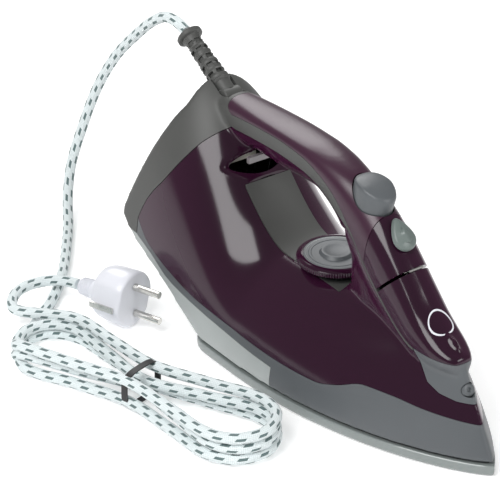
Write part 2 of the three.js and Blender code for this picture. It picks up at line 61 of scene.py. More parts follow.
# ---- lines of the iron, in millimetres ------------------------------------------
SOLE_HALF = 58.5
TOE_X = 154.0
WIDEST_X = -30.0
SEAM = 0.3
FOOT = 8.0
FOOT_STEP = 0.8
BODY_RISE = 66.0
HEEL_RISE = 79.0
TOE_RAKE = 0.56
REAR_SOLE_X = -72.0
TIE_HEIGHT = 12.6
TIE_HALF_WIDTH = 15.6
TIE_HALF_HEIGHT = 12.0
HALF_BAND = 2.2
WALL = 2.6
DIAL_AT = (4.0, 0.0, 74.0)
BUTTON_AT = (39.0, 0.0, 139.5)
LEVER_AT = (65.0, 0.0, 115.2)
CONSOLE_NORMAL = (0.69, 0.0, 0.724)
CONSOLE_DOWN = (0.724, 0.0, -0.69)
FLAP_HINGE = (78.0, 0.0, 102.5)
NOZZLE_AT = (128.0, 0.0, 46.0)
NOZZLE_AIM = (0.89, 0.0, 0.456)
SWIVEL = (-105.0, 0.0, 141.0)
GUARD_AIM = (-0.876, 0.0, 0.483)
PLUG_AT = (-118.0, -78.0, 19.0)
PLUG_TURN = 0.35
HANK_AT = (-32.0, -119.0)
HANK_TURN = 0.26


def smooth(t):
    """Eases from 0 to 1."""
    t = min(max(t, 0.0), 1.0)
    return t * t * (3 - 2 * t)


def line(*points):
    """A smooth z(x) through points, with no overshoot."""
    slopes = [(b[1] - a[1]) / (b[0] - a[0]) for a, b in zip(points, points[1:])]
    lean = [slopes[0]]
    for a, b in zip(slopes, slopes[1:]):
        lean.append(0.0 if a * b <= 0 else 2 * a * b / (a + b))
    lean.append(slopes[-1])

    def at(x):
        if x <= points[0][0]:
            return points[0][1]
        for i in range(len(points) - 1):
            (x0, z0), (x1, z1) = points[i], points[i + 1]
            if x <= x1:
                w = x1 - x0
                t = (x - x0) / w
                return (z0 * (1 + 2 * t) * (1 - t) ** 2 + z1 * t * t * (3 - 2 * t)
                        + lean[i] * w * t * (1 - t) ** 2 - lean[i + 1] * w * t * t * (1 - t))
        return points[-1][1]

    return at


handle_top = line((-119, 136.5), (-98, 146.6), (-81, 147.2), (-60, 147.6), (-37, 148), (-14, 148),
                  (3, 146.8), (19, 143.4), (34, 137.4), (48, 129.2), (60, 120), (72, 108.6), (84, 96),
                  (96, 83.5), (108, 73.5), (118, 67.5), (124, 65))
handle_edge = line((-119, 127.5), (-98, 137), (-81, 140), (-60, 142), (-37, 143), (-14, 141.5),
                   (3, 137), (19, 128.5), (34, 114), (48, 99.5), (60, 88.5), (72, 78), (84, 69),
                   (96, 63.6), (124, 62))
handle_under = line((-119, 116), (-98, 118), (-60, 119), (-40, 119), (-5, 121), (8, 116), (19, 108),
                    (27, 97), (36, 82), (60, 62), (84, 54), (96, 52), (124, 54))
handle_half = line((-119, 10.5), (-98, 12), (-60, 13.5), (-14, 14.2), (34, 14.6), (48, 15.5),
                   (60, 16), (84, 15.7), (96, 15), (108, 13.4), (118, 10), (124, 6))
skirt_top = line((-134, 59), (-128, 53), (-119, 47), (-93, 38.5), (-61, 32.5), (-7, 29), (46, 27),
                 (60, 30), (76, 35.5), (95, 34.5), (112, 32), (150, 28))
trim_low = line((-134, 48), (-115, 41.5), (-96, 33.5), (-76, 30), (-46, 26.5), (14, 22))
rear_seam = [(-134.3, 59), (-131, 67), (-127, 75), (-122, 82.5), (-115, 91), (-108, 102), (-102, 112),
             (-97, 121), (-92, 127.5), (-88, 130.5)]
deck_line = line((-66, 101), (-57, 92), (-48, 84), (-39, 77.5), (-30, 73.3), (-20, 71.5), (30, 70.5))
nose_seam = [(96, 62.4), (98, 60), (103, 54), (109, 47), (117, 42.5), (127, 40), (150, 39)]


def band_depth(x):
    """Depth of the grey band below the handle's edge: broad on the grip, a thin rail by the console."""
    return 2.0 + 7.5 * smooth((38 - x) / 22)


def sole_half(x):
    """Half width of the sole at x."""
    if x <= WIDEST_X:
        return SOLE_HALF - 4 * min((WIDEST_X - x) / 124, 1) ** 2
    t = min((x - WIDEST_X) / (TOE_X - WIDEST_X), 1)
    return SOLE_HALF * max(1 - t ** 2.2, 0) ** 0.85


def plan_outline(rear, inset, corner=0.0, steps=120):
    """The sole's plan from above, drawn in by inset."""
    side = []
    toe = TOE_X - inset * 1.4
    for i in range(steps + 1):
        x = rear + (toe - rear) * (1 - (1 - i / steps) ** 1.7)
        reach = WIDEST_X + (x - WIDEST_X) / (toe - WIDEST_X) * (TOE_X - WIDEST_X) if x > WIDEST_X else x
        fade = min((x - rear) / max(corner, 1), 1)
        cut = corner * (1 - math.sqrt(max(1 - (1 - fade) ** 2, 0))) if corner else 0
        side.append((x, max(sole_half(reach) * (SOLE_HALF - inset) / SOLE_HALF - cut, 0)))
    side[-1] = (side[-1][0], 0)
    return [(x, -y) for x, y in side] + side[-2::-1]


def sampled(fn, x0, x1, lift=0.0, step=3.0):
    """Points along a line of the iron, raised by lift."""
    count = max(2, math.ceil(abs(x1 - x0) / step))
    return [(x0 + (x1 - x0) * i / count, fn(x0 + (x1 - x0) * i / count) + lift) for i in range(count + 1)]


# ---- mesh helpers ---------------------------------------------------------------
def add_piece(name, verts, faces, uvs=None):
    mesh = bpy.data.meshes.new(name)
    mesh.from_pydata([tuple(c * MM for c in v) for v in verts], [], faces)
    if uvs:
        layer = mesh.uv_layers.new(name="weave")
        for poly in mesh.polygons:
            for k, corner in enumerate(poly.loop_indices):
                layer.data[corner].uv = uvs[poly.index][k]
    tidy = bmesh.new()
    tidy.from_mesh(mesh)
    bmesh.ops.recalc_face_normals(tidy, faces=tidy.faces)
    tidy.to_mesh(mesh)
    tidy.free()
    piece = bpy.data.objects.new(name, mesh)
    bpy.context.scene.collection.objects.link(piece)
    return piece


def ring_stack(name, rings):
    """A closed solid from rings of equal count, capped at both ends."""
    n = len(rings[0])
    verts = [v for ring in rings for v in ring]
    faces = [(r * n + i, r * n + (i + 1) % n, (r + 1) * n + (i + 1) % n, (r + 1) * n + i)
             for r in range(len(rings) - 1) for i in range(n)]
    faces.append(tuple(range(n)))
    faces.append(tuple((len(rings) - 1) * n + i for i in reversed(range(n))))
    return add_piece(name, verts, faces)


def slab(name, outline, y0, y1):
    """A side outline in X and Z carried across from y0 to y1."""
    return ring_stack(name, [[(x, y, z) for x, z in outline] for y in (y0, y1)])


def plate(name, outline, levels):
    """A plan outline stacked through (z, inset) levels."""
    cx = sum(p[0] for p in outline) / len(outline)
    cy = sum(p[1] for p in outline) / len(outline)

    def pulled(x, y, inset):
        reach = math.hypot(x - cx, y - cy) or 1
        return (cx + (x - cx) * (1 - inset / reach), cy + (y - cy) * (1 - inset / reach))

    return ring_stack(name, [[(*pulled(x, y, inset), z) for x, y in outline] for z, inset in levels])


def turned(name, at, aim, profile, sides=64, stretch=1.0, lobes=None):
    """A turned piece: profile is (distance along aim, radius) pairs."""
    turn = Vector((0, 0, 1)).rotation_difference(Vector(aim))
    rings = []
    for t, radius in profile:
        ring = []
        for i in range(sides):
            a = 2 * math.pi * i / sides
            r = radius + (lobes(a, t, radius) if lobes else 0)
            ring.append(tuple(Vector(at) + turn @ Vector((r * stretch * math.cos(a), r * math.sin(a), t))))
        rings.append(ring)
    return ring_stack(name, rings)


def bake(piece):
    """Applies a piece's modifiers."""
    graph = bpy.context.evaluated_depsgraph_get()
    mesh = bpy.data.meshes.new_from_object(piece.evaluated_get(graph))
    piece.modifiers.clear()
    piece.data = mesh
    return piece


def combine(piece, tool, operation, keep=False):
    """Joins, cuts or trims a piece with a tool."""
    change = piece.modifiers.new("join", "BOOLEAN")
    change.operation = operation
    change.solver = "MANIFOLD"
    change.object = tool
    bake(piece)
    if not keep:
        bpy.data.objects.remove(tool)
    return piece


def twin(piece, name):
    """A copy of a piece under a new name."""
    other = bpy.data.objects.new(name, piece.data.copy())
    bpy.context.scene.collection.objects.link(other)
    return other


def ease(piece, angle=32):
    """Smooth shading, with creases kept sharp."""
    piece.data.shade_smooth()
    piece.data.set_sharp_from_angle(angle=math.radians(angle))
    return piece


# ---- forms of the iron ------------------------------------------------------------
def body_form(name, inset):
    """The dome over the sole: upright at the foot, closing to a ridge along the crown."""
    outline = plan_outline(-162, inset)
    n, levels = len(outline), 90
    verts = []
    for k in range(levels + 1):
        climb = math.sin(math.pi / 2 * k / levels)
        for x, y in outline:
            crown = BODY_RISE + HEEL_RISE * smooth((-22 - x) / 105) - inset
            rise = FOOT_STEP + (crown * 0.9995 - FOOT_STEP) * climb
            lean = TOE_RAKE * rise * smooth((x + 40) / 170)
            verts.append((x - lean, y * math.sqrt(1 - (rise / crown) ** 2), FOOT + rise))
    faces = [(k * n + i, k * n + (i + 1) % n, (k + 1) * n + (i + 1) % n, (k + 1) * n + i)
             for k in range(levels) for i in range(n)]
    faces.append(tuple(range(n)))
    top = levels * n
    faces += [(top + i, top + i + 1, top + n - 2 - i, top + n - 1 - i) for i in range(n // 2 - 1)]
    faces.append((top + n // 2 - 1, top + n // 2, top + n // 2 + 1))
    return add_piece(name, verts, faces)


def bar_form(name, x0, x1, shell):
    """The handle bar, drawn in by shell."""
    rings = []
    count = 220
    for k in range(count + 1):
        x = x0 + (x1 - x0) * k / count
        top, edge, under = handle_top(x) - shell, handle_edge(x), handle_under(x) + shell
        ring = []
        for i in range(96):
            a = 2 * math.pi * i / 96
            lift = abs(math.sin(a)) ** 0.75
            z = edge + (top - edge) * lift if math.sin(a) >= 0 else edge - (edge - under) * lift
            reach = math.copysign(abs(math.cos(a)) ** 0.9, math.cos(a))
            ring.append((x, (handle_half(x) - shell) * reach, z))
        rings.append(ring)
    return ring_stack(name, rings)


def column_form(name, shrink, lift):
    """The column that carries the handle down to the nose."""
    plan = [(30 + shrink, -9), (35 + shrink, -13), (48, -14.8), (84, -14.8), (104, -12.5),
            (115 - shrink, -8), (120 - shrink, 0)]
    plan = [(x, y * (1 - shrink * 0.06)) for x, y in plan]
    plan += [(x, -y) for x, y in plan[-2::-1]]
    column = ring_stack(name, [[(x, y, z) for x, y in plan] for z in (24, 140)])
    roof = slab("roof", [(20, 20), (20, 96)] + sampled(lambda x: handle_edge(x) - 4, 40, 104, lift)
                + [(118, 50), (140, 30), (140, 20)], -60, 60)
    return combine(column, roof, "INTERSECT")


SIDE_VIEW = [(-62, 8.8), (-81, 19), (-101, 29), (-118, 35.5), (-135, 42), (-148, 49), (-153, 54),
             (-153.5, 58),
             (-150, 67), (-134, 105), (-123, 130), (-119, 138), (-119, 160), (160, 160), (160, 8.8)]
INNER_VIEW = [(-60, 0), (-60, 12), (-80, 22.5), (-100, 32.5), (-134, 45.5), (-148, 55.5), (-115, 134),
              (-115, 160), (160, 160), (160, 0)]
OPENING_VIEW = ([(-80, 108), (-79.5, 112), (-77.5, 116), (-74, 118.3), (-68, 119.3), (-40, 119),
                 (-20, 120.4),
                 (-5, 121), (2, 119.3), (8, 116), (14, 112), (19, 107.3), (23, 102), (26, 96), (27.6, 90),
                 (28, 84), (28, 76), (26, 73.6)] + sampled(deck_line, 22, -66, 2.2))


def make_skin(settings):
    """The whole outer form, with its corners rounded together before the seams are cut."""
    skin = body_form("skin", 0)
    combine(skin, slab("side", SIDE_VIEW, -90, 90), "INTERSECT")
    combine(skin, column_form("column", 0, 0), "UNION")
    combine(skin, bar_form("bar", -119, 124, 0), "UNION")
    combine(skin, slab("gap", OPENING_VIEW, -70, 70), "DIFFERENCE")
    remesh = skin.modifiers.new("remesh", "REMESH")
    remesh.mode = "VOXEL"
    remesh.voxel_size = settings.skin_detail
    bake(skin)
    relax = skin.modifiers.new("relax", "SMOOTH")
    relax.factor = 0.5
    relax.iterations = 24
    bake(skin)
    return skin


def make_core():
    """The hollow inside the shells."""
    core = body_form("core", WALL)
    combine(core, slab("side", INNER_VIEW, -90, 90), "INTERSECT")
    foot = plan_outline(-60, WALL + 0.6)
    combine(core, ring_stack("base", [[(x, y, z) for x, y in foot] for z in (-2, 12)]), "UNION")
    combine(core, column_form("column", 3, 6), "UNION")
    combine(core, bar_form("bar", -112, 117, WALL), "UNION")
    return core


# ---- materials ----------------------------------------------------------------------
class Wire:
    """A value in a node tree, with ordinary arithmetic."""

    def __init__(self, tree, socket):
        self.tree = tree
        self.socket = socket

    def math(self, operation, *values, clamp=False):
        node = self.tree.nodes.new("ShaderNodeMath")
        node.operation = operation
        node.use_clamp = clamp
        for slot, value in zip(node.inputs, values):
            plug(self.tree, slot, value)
        return Wire(self.tree, node.outputs[0])

    def __add__(self, other):
        return self.math("ADD", self, other)

    def __radd__(self, other):
        return self.math("ADD", other, self)

    def __sub__(self, other):
        return self.math("SUBTRACT", self, other)

    def __rsub__(self, other):
        return self.math("SUBTRACT", other, self)

    def __mul__(self, other):
        return self.math("MULTIPLY", self, other)

    def __rmul__(self, other):
        return self.math("MULTIPLY", other, self)

    def __truediv__(self, other):
        return self.math("DIVIDE", self, other)

    def __lt__(self, other):
        return self.math("LESS_THAN", self, other)

    def __mod__(self, other):
        return self.math("FLOORED_MODULO", self, other)

    def floor(self):
        return self.math("FLOOR", self)

    def sine(self):
        return self.math("SINE", self)

    def size(self):
        return self.math("ABSOLUTE", self)



def plug(tree, slot, value):
    if isinstance(value, Wire):
        tree.links.new(value.socket, slot)
    else:
        slot.default_value = value


class Finish:
    """A material being wired up."""

    def __init__(self, name, **constants):
        self.material = bpy.data.materials.new(name)
        self.material.use_nodes = True
        self.tree = self.material.node_tree
        self.shader = self.tree.nodes["Principled BSDF"]
        for slot, value in constants.items():
            self.shader.inputs[slot.replace("_", " ")].default_value = value

    def node(self, kind, settings=None, **values):
        node = self.tree.nodes.new("ShaderNode" + kind)
        for key, value in (settings or {}).items():
            setattr(node, key, value)
        for slot, value in values.items():
            plug(self.tree, node.inputs[slot.replace("_", " ")], value)
        return node

    def out(self, node, name):
        return Wire(self.tree, node.outputs[name])

    def place(self):
        return self.out(self.node("TexCoord"), "Object")

    def noise(self, scale, detail=3.0, roughness=0.55):
        found = self.node("TexNoise", Vector=self.place(), Scale=scale, Detail=detail, Roughness=roughness)
        return self.out(found, "Fac")

    def mix(self, amount, first, second):
        node = self.node("Mix", {"data_type": "RGBA"})
        plug(self.tree, node.inputs[0], amount)
        plug(self.tree, node.inputs[6], first)
        plug(self.tree, node.inputs[7], second)
        return Wire(self.tree, node.outputs[2])

    def feed(self, slot, value):
        plug(self.tree, self.shader.inputs[slot], value)

    def relief(self, height, strength, depth):
        bump = self.node("Bump", Height=height, Strength=strength, Distance=depth)
        self.feed("Normal", self.out(bump, "Normal"))


def tone(colour, factor):
    """A colour made lighter or darker."""
    return tuple(min(c * factor, 1.0) for c in colour[:3]) + (1.0,)


def moulded(name, colour, roughness, grain=0.06, coat=0.0, scale=2600.0, spread=0.12):
    """Moulded plastic: a fine grain, slow drift of tone, and small changes in gloss."""
    made = Finish(name, Coat_Weight=coat, Coat_Roughness=0.04, IOR=1.5)
    drift = made.noise(26.0, 2.0)
    fine = made.noise(scale, 2.0)
    made.feed("Base Color", made.mix(drift, tone(colour, 1 - spread), tone(colour, 1 + spread)))
    made.feed("Roughness", roughness - 0.05 + drift * 0.06 + fine * 0.05)
    made.relief(fine, grain, 0.0002)
    return made.material


def tank_gloss(name, colour, painted_rim_sheen):
    """Dark see-through plastic with a painted rim sheen: the colour turns lighter and warmer where the shell
    turns away from the view.
    """
    made = Finish(name, Roughness=0.12, IOR=1.42)
    turn = made.out(made.node("LayerWeight", Blend=0.32), "Facing")
    drift = made.noise(9.0, 2.0)
    deep = made.mix(drift, tone(colour, 0.8), tone(colour, 1.15))
    # painted sheen: the colour is mixed toward the lighter edge colour at grazing angles, standing in for
    # light on the tank's edges
    made.feed("Base Color", made.mix(turn * 0.75, deep, tone(painted_rim_sheen, 1.0)))
    made.relief(made.noise(60.0, 1.0), 0.02, 0.0003)
    return made.material


def metal(name, colour, roughness, stretch=(1.0, 1.0, 1.0), depth=0.05):
    """Metal with a fine grain."""
    made = Finish(name, Metallic=1.0)
    grain = made.node("Mapping", Vector=made.place(), Scale=stretch)
    marks = made.node("TexNoise", Vector=made.out(grain, "Vector"), Scale=900.0, Detail=3.0)
    fine = made.out(marks, "Fac")
    made.feed("Base Color", made.mix(fine, tone(colour, 0.9), tone(colour, 1.1)))
    made.feed("Roughness", roughness - 0.08 + fine * 0.16)
    made.relief(fine, depth, 0.0001)
    return made.material


def braid(name, white, fleck, diameter):
    """Woven cotton sleeve: crossing yarns with painted shade in the hollows between them, and rows of short
    slanted dashes.
    """
    made = Finish(name, Roughness=0.88, Sheen_Weight=0.25)
    split = made.node("SeparateXYZ", Vector=made.out(made.node("TexCoord"), "UV"))
    along = made.out(split, "X")
    around = made.out(split, "Y")
    rows = around * 6.0
    row = rows.floor()
    dash = (along / 0.0125 + row * 0.5 + rows * 0.22) % 1.0
    across = (rows % 1.0 - 0.5).size()
    fleck_at = (dash < 0.42) * (across < 0.24)
    lay = along * (math.pi / 0.0011)
    wind = around * 62.8
    yarn = (lay + wind).sine() * (lay - wind).sine()
    # painted shade: the white is darker in the hollows between yarns, where the relief is low, and lighter
    # on their crests
    cloth_with_painted_weave_shade = made.mix(yarn * 0.5 + 0.5, tone(white, 0.82), tone(white, 1.05))
    made.feed("Base Color", made.mix(fleck_at, cloth_with_painted_weave_shade, tone(fleck, 1.0)))
    made.relief(yarn, 0.5, 0.0004)
    return made.material


# ---- settings -------------------------------------------------------------------------
def colour_prop(name, words, default):
    return bpy.props.FloatVectorProperty(name=name, description=words, subtype="COLOR", size=3, min=0, max=1,
                                         default=default)


class IronSettings(bpy.types.PropertyGroup):
    """Sizes and colours of the iron."""

    skin_detail: bpy.props.FloatProperty(name="Skin detail",
                                        description="Size of the facets of the outer skin",
                                         default=0.0011, min=0.0008, max=0.005, unit="LENGTH")
    cord_diameter: bpy.props.FloatProperty(name="Cord diameter", description="Thickness of the woven cord",
                                           default=0.007, min=0.004, max=0.01, unit="LENGTH")
    aubergine: colour_prop("Tank colour", "Dark glossy plastic of the tank", (0.017, 0.0035, 0.012))
    # painted rim sheen: the lighter purple the tank is painted toward where its shell turns away, standing
    # in for light on its edges
    painted_rim_sheen: colour_prop("Tank edge colour", "Light seen through the tank's edges", (0.075, 0.012, 0.05))
    grip: colour_prop("Grip colour", "Soft handle cover", (0.036, 0.008, 0.024))
    dark_grey: colour_prop("Frame colour", "Handle frame and cord guard", (0.062, 0.063, 0.06))
    mid_grey: colour_prop("Skirt colour", "Skirt, nose and button", (0.085, 0.093, 0.1))
    # painted reflection: the heel's grey plastic is made pale to stand in for the glancing reflection of the
    # white surroundings on the heel face; the dial's ring marks share this colour
    pale_grey: colour_prop("Heel colour", "Heel base", (0.36, 0.385, 0.38))
    lever_grey: colour_prop("Lever colour", "Steam lever", (0.13, 0.16, 0.15))
    white: colour_prop("Plug colour", "Mains plug", (0.72, 0.73, 0.78))
    cord_white: colour_prop("Cord colour", "Woven cord", (0.74, 0.81, 0.82))
    fleck: colour_prop("Fleck colour", "Dashes in the cord's weave", (0.11, 0.165, 0.165))


MATERIALS = {}


def paints(settings):
    """Every finish on the iron, made once."""
    if MATERIALS:
        return MATERIALS
    look = settings
    MATERIALS.update({
        "aubergine_gloss": tank_gloss("tank_plastic", look.aubergine, look.painted_rim_sheen),
        "aubergine_soft": moulded("grip_plastic", look.grip, 0.32, 0.05, 0.0, 3000.0),
        "dark_grey": moulded("frame_plastic", look.dark_grey, 0.5, 0.16, 0.0, 3400.0),
        "mid_grey": moulded("skirt_plastic", look.mid_grey, 0.42, 0.1, 0.0, 3000.0),
        # heel colour lightened as a painted reflection on the heel face
        "pale_grey": moulded("heel_plastic", look.pale_grey, 0.36, 0.06),
        "lever_grey": moulded("lever_plastic", look.lever_grey, 0.38, 0.06),
        "black_plastic": moulded("tie_plastic", (0.012, 0.012, 0.013), 0.5, 0.1),
        "white_plastic": moulded("plug_plastic", look.white, 0.32, 0.04, 0.2, 2600.0, 0.03),
        "clear_lens": moulded("lens_plastic", (0.2, 0.18, 0.19), 0.15, 0.02, 0.6),
        "braided_cord": braid("cord_weave", look.cord_white, look.fleck, look.cord_diameter),
        "silicone": moulded("seal_rubber", (0.03, 0.032, 0.034), 0.7, 0.2),
        "cast_aluminium": metal("casting_metal", (0.55, 0.56, 0.57), 0.45),
        "coated_sole": moulded("sole_enamel", (0.2, 0.225, 0.22), 0.24, 0.03, 0.5),
        "plated_steel": metal("plated_steel", (0.68, 0.67, 0.64), 0.24, (1.0, 14.0, 1.0)),
        "brass": metal("brass", (0.7, 0.55, 0.28), 0.3),
        "ceramic": moulded("ceramic", (0.72, 0.7, 0.62), 0.55, 0.1),
    })
    return MATERIALS


def dress(piece, slot, body, *nodes):
    """Gives a piece its finish and its body, and hides the solids it stands for."""
    piece.data.materials.clear()
    piece.data.materials.append(MATERIALS[slot])
    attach(piece, body)
    if nodes:
        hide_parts(*nodes)
    return piece


# ---- stage and camera -------------------------------------------------------------------
class IRON_OT_stage(bpy.types.Operator):
    """Sets the camera, the lights and the pale floor"""

    bl_idname = "iron.stage"
    bl_label = "Stage"

    def execute(self, context):
        scene = context.scene
        turn, rise, reach = math.radians(54.08), math.radians(29.5), 1.5
        aim = Vector((-0.0356, -0.0357, 0.075))
        back = Vector((math.sin(turn) * math.cos(rise), -math.cos(turn) * math.cos(rise), math.sin(rise)))
        lens = bpy.data.cameras.new("view")
        lens.lens = 178.0
        lens.sensor_width = 36.0
        camera = bpy.data.objects.new("view", lens)
        camera.location = aim + back * reach
        camera.rotation_euler = (-back).to_track_quat("-Z", "Y").to_euler()
        scene.collection.objects.link(camera)
        scene.camera = camera

        world = bpy.data.worlds.new("studio")
        world.use_nodes = True
        world.node_tree.nodes["Background"].inputs[0].default_value = (1, 1, 1, 1)
        world.node_tree.nodes["Background"].inputs[1].default_value = 0.3
        scene.world = world
        scene.view_settings.view_transform = "Standard"

        lamps = (("key", (0.25, -1.1, 1.35), 1.0, 24.0), ("side", (1.5, 0.5, 1.0), 0.8, 12.0),
                 ("rear", (-1.3, 0.6, 1.2), 1.0, 14.0))
        for name, place, size, power in lamps:
            light = bpy.data.lights.new(name, "AREA")
            light.energy = power
            light.size = size
            lamp = bpy.data.objects.new(name, light)
            lamp.location = place
            lamp.rotation_euler = (Vector(place) - Vector((0, 0, 0.06))).to_track_quat("Z", "Y").to_euler()
            scene.collection.objects.link(lamp)

        floor = add_piece("floor", [(-4000, -4000, -0.2), (4000, -4000, -0.2), (4000, 4000, -0.2),
                                    (-4000, 4000, -0.2)], [(0, 1, 2, 3)])
        paper = Finish("floor_paper", Roughness=0.9)
        paper.feed("Base Color", paper.mix(paper.noise(3.0), (0.9, 0.9, 0.9, 1), (0.93, 0.93, 0.93, 1)))
        paper.feed("Emission Color", (1.0, 1.0, 1.0, 1.0))
        paper.feed("Emission Strength", 0.28)
        floor.data.materials.append(paper.material)
        return {"FINISHED"}


# ---- cord ---------------------------------------------------------------------------------
LEAD = [(-153, 0, 167.5), (-163, 0, 170), (-176, 0, 169), (-190, -1, 161), (-209, -1, 145), (-232, -2, 122),
        (-252, -5, 92), (-262, -12, 60), (-263, -22, 32), (-254, -31, 13), (-238, -41, 4.6), (-216, -56, 4),
        (-186, -78, 4), (-158, -104, 4), (-143, -124, 4)]
TAIL = [(-150, -136, 13), (-161, -131, 13.5), (-168, -120, 14), (-168, -108, 14.4),
        (-163, -98, 15), (-155, -92, 15.6), (-148.4, -89.6, 16)]


def hank_turn(right, left, near, far, level, last=False):
    """One loop of the hank, from its left fold round and back: radii of the folds, and where it crosses."""
    reach_r, reach_l = 73.0 + 24.5 - right, 73.0 + 22.5 - left
    side = [(-reach_l - left * 0.2, -left), (-38, -(left + near) / 2), (0, -near),
            (38, -(right + near) / 2), (reach_r, -right),
            (reach_r + right * 0.7, -right * 0.71), (reach_r + right, 0), (reach_r + right * 0.7,
                                        right * 0.71),
            (reach_r, right), (38, (right + far) / 2), (0, far), (-38, (left + far) / 2), (-reach_l, left)]
    if not last:
        side += [(-reach_l - left * 0.7, left * 0.71), (-reach_l - left, 0),
                 (-reach_l - left * 0.7, -left * 0.71)]
    return [(u, v, level) for u, v in side]


def cord_route():
    """The whole route of the cord, from the guard to the plug."""
    cos, sin = math.cos(HANK_TURN), math.sin(HANK_TURN)
    loops = (hank_turn(24.5, 22.5, 12.0, 11.5, 5.4) + hank_turn(22.5, 21.5, 4.5, 4.0, 12.4)
             + hank_turn(24.0, 22.5, 12.0, 11.5, 19.4, last=True))
    wound = [(HANK_AT[0] + u * cos - v * sin, HANK_AT[1] + u * sin + v * cos, w) for u, v, w in loops]
    return LEAD + wound + TAIL


def spline(points, step=2.0):
    """Evenly spaced points on a smooth curve through the given ones."""
    dense = []
    ends = [points[0]] + list(points) + [points[-1]]
    for i in range(1, len(ends) - 2):
        p0, p1, p2, p3 = (Vector(ends[i + k]) for k in (-1, 0, 1, 2))
        t1 = max((p1 - p0).length ** 0.5, 1e-3)
        t2 = max((p2 - p1).length ** 0.5, 1e-3)
        t3 = max((p3 - p2).length ** 0.5, 1e-3)
        m1 = m2 = p2 - p1
        if i > 1:
            m1 = t2 * ((p1 - p0) / t1 - (p2 - p0) / (t1 + t2) + (p2 - p1) / t2)
        if i < len(ends) - 3:
            m2 = t2 * ((p2 - p1) / t2 - (p3 - p1) / (t2 + t3) + (p3 - p2) / t3)
        for k in range(12):
            t = k / 12
            dense.append(p1 * (2 * t ** 3 - 3 * t * t + 1) + m1 * (t ** 3 - 2 * t * t + t)
                         + p2 * (3 * t * t - 2 * t ** 3) + m2 * (t ** 3 - t * t))
    dense.append(Vector(points[-1]))
    even, left = [dense[0]], step
    for a, b in zip(dense, dense[1:]):
        length, run = (b - a).length, 0.0
        while length - run >= left > 0:
            run += left
            even.append(a.lerp(b, run / length))
            left = step
        left -= length - run
    if (even[-1] - dense[-1]).length > 0.3:
        even.append(dense[-1])
    return even


def run_length(points):
    """Length along a run of points."""
    return sum((b - a).length for a, b in zip(points, points[1:]))


def hose(name, path, radius, sides=16):
    """A closed tube along a path, with its weave laid out along and around it."""
    rings, up = [], Vector((0, 1, 0))
    for i, at in enumerate(path):
        ahead = (path[min(i + 1, len(path) - 1)] - path[max(i - 1, 0)]).normalized()
        up = (up - ahead * up.dot(ahead)).normalized()
        side = ahead.cross(up)
        rings.append([tuple(at + (up * math.cos(a) + side * math.sin(a)) * radius)
                      for a in (2 * math.pi * k / sides for k in range(sides))])
    verts = [v for ring in rings for v in ring]
    faces, uvs, gone = [], [], 0.0
    for r in range(len(rings) - 1):
        ahead = gone + (path[r + 1] - path[r]).length * MM
        for k in range(sides):
            faces.append((r * sides + k, r * sides + (k + 1) % sides, (r + 1) * sides + (k + 1) % sides,
                          (r + 1) * sides + k))
            uvs.append([(gone, k / sides), (gone, (k + 1) / sides), (ahead, (k + 1) / sides),
                        (ahead, k / sides)])
        gone = ahead
    faces += [tuple(range(sides)), tuple((len(rings) - 1) * sides + k for k in reversed(range(sides)))]
    uvs += [[(0, 0)] * sides, [(gone, 0)] * sides]
    return add_piece(name, verts, faces, uvs)


class IRON_OT_cord(bpy.types.Operator):
    """Lays the woven cord from the guard through its hank to the plug"""

    bl_idname = "iron.cord"
    bl_label = "Cord"

    def execute(self, context):
        settings = context.scene.iron
        path = spline(cord_route())
        radius = settings.cord_diameter / MM / 2
        cord = ease(hose("woven_cord", path, radius), 60)
        cord.data.materials.append(MATERIALS["braided_cord"])
        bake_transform(cord)
        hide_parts("cord_lead", "cord_hank", "cord_tail")

        cos, sin = math.cos(HANK_TURN), math.sin(HANK_TURN)
        band = []
        for k in range(40):
            a = 2 * math.pi * k / 40
            v = TIE_HALF_WIDTH * math.copysign(abs(math.cos(a)) ** 0.6, math.cos(a))
            w = TIE_HEIGHT + TIE_HALF_HEIGHT * math.copysign(abs(math.sin(a)) ** 0.6, math.sin(a))
            band.append((v, w))
        rings = []
        for u, scale in ((-HALF_BAND, 0.94), (-HALF_BAND, 1.0), (HALF_BAND, 1.0), (HALF_BAND, 0.94)):
            rings.append([(HANK_AT[0] + u * cos - v * scale * sin, HANK_AT[1] + u * sin + v * scale * cos,
                           TIE_HEIGHT + (w - TIE_HEIGHT) * scale) for v, w in band])
        n = len(band)
        verts = [v for ring in rings for v in ring]
        faces = [(r * n + i, r * n + (i + 1) % n, (r + 1) % 4 * n + (i + 1) % n, (r + 1) % 4 * n + i)
                 for r in range(4) for i in range(n)]
        tie = ease(add_piece("hank_tie", verts, faces), 40)
        dress(tie, "black_plastic", "iron", "cable_tie")

        plug_pieces = make_plug()
        nodes = [frame["nodes"][n] for n in ("plug_pin_upper", "plug_pin_lower", "earth_contact_front",
                                             "earth_contact_back")]
        guard = make_guard()
        round(run_length(path) * MM, 3)
        [tuple(p * MM) for p in path]
        plug_pieces + nodes + [tie, guard]
        return {"FINISHED"}


